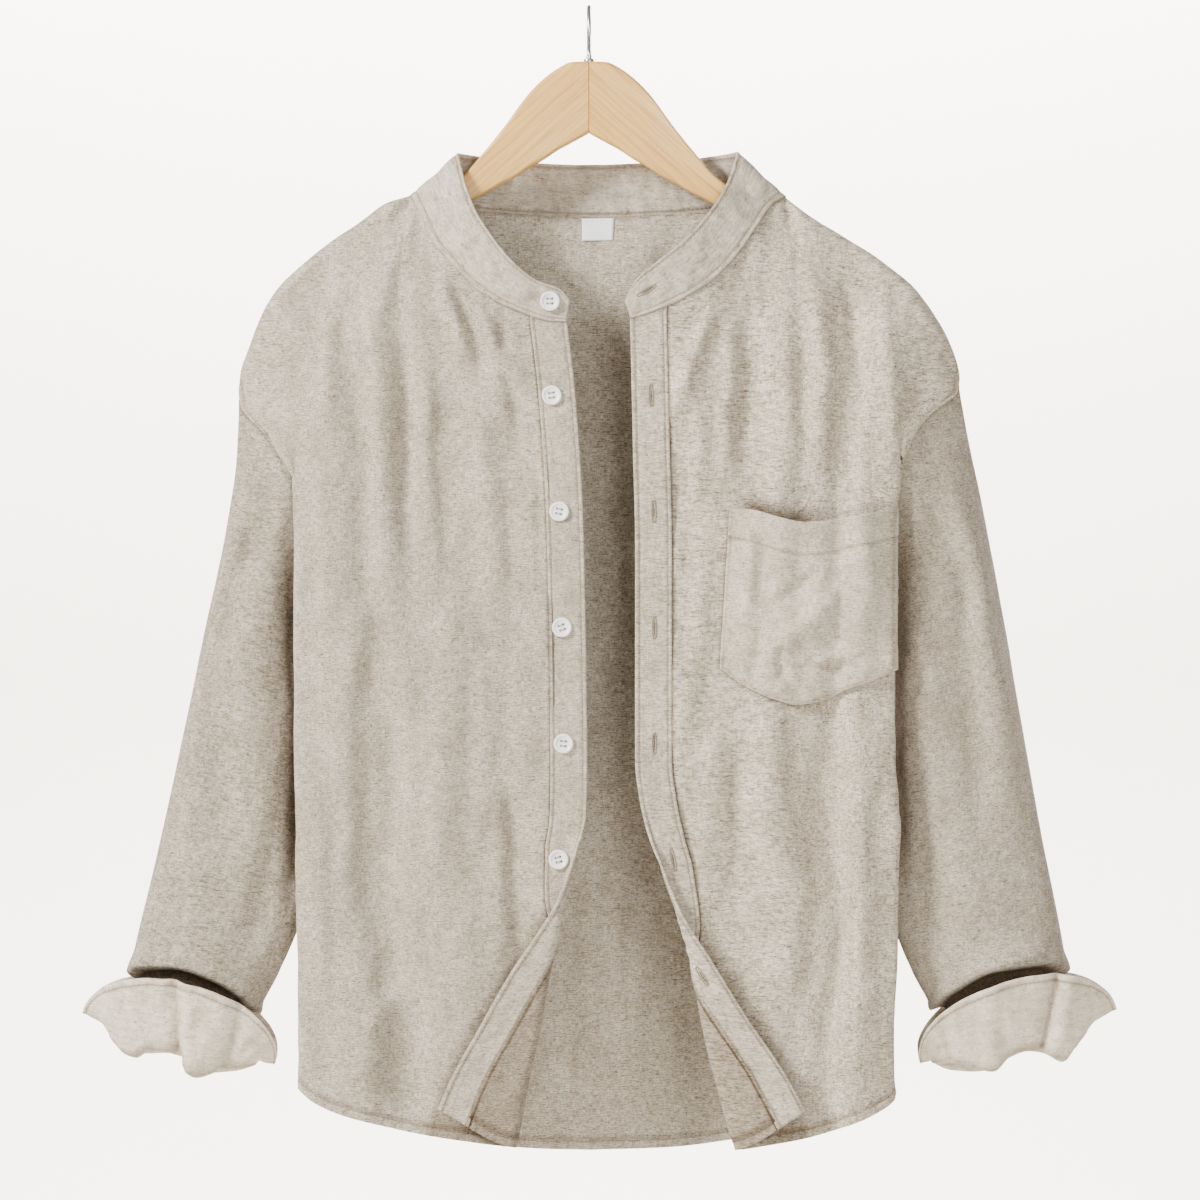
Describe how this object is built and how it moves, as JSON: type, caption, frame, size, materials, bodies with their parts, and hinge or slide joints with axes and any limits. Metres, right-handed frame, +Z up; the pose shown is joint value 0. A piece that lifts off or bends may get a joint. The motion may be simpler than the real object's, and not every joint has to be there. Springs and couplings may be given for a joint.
{
  "type": "mandarin collar shirt on a hanger",
  "caption": "Long-sleeved mandarin collar shirt with one chest pocket and turned-back cuffs, hanging open on a wooden hanger.",
  "frame": {"origin": "the inside top of the hanger's hook, where a rail carries it", "axes": "+Z up, the shirt faces -Y, +X toward the wearer's left side"},
  "size_m": [0.7892, 0.103, 0.8772],
  "materials": {
    "front_right": "matte linen weave",
    "front_left": "matte linen weave",
    "back": "matte linen weave",
    "sleeve_right": "matte linen weave",
    "sleeve_left": "matte linen weave",
    "cuff_right": "matte linen weave",
    "cuff_left": "matte linen weave",
    "collar_band": "matte linen weave",
    "button_placket": "matte linen weave",
    "buttonhole_placket": "matte linen weave",
    "chest_pocket": "matte linen weave",
    "neck_label": "smooth woven tape",
    "button_1": "satin",
    "button_2": "satin",
    "button_3": "satin",
    "button_4": "satin",
    "button_5": "satin",
    "button_6": "satin",
    "button_7": "satin",
    "hanger_arm_right": "clear satin varnish",
    "hanger_arm_left": "clear satin varnish",
    "hanger_hook": "drawn wire"
  },
  "bodies": {
    "root": {"front_right": "front_right", "front_left": "front_left", "back": "back", "sleeve_right": "sleeve_right", "sleeve_left": "sleeve_left", "cuff_right": "cuff_right", "cuff_left": "cuff_left", "collar_band": "collar_band", "button_placket": "button_placket", "buttonhole_placket": "buttonhole_placket", "chest_pocket": "chest_pocket", "neck_label": "neck_label", "button_1": "button_1", "button_2": "button_2", "button_3": "button_3", "button_4": "button_4", "button_5": "button_5", "button_6": "button_6", "button_7": "button_7", "hanger_arm_right": "hanger_arm_right", "hanger_arm_left": "hanger_arm_left", "hanger_hook": "hanger_hook"}
  },
  "joints": []
}
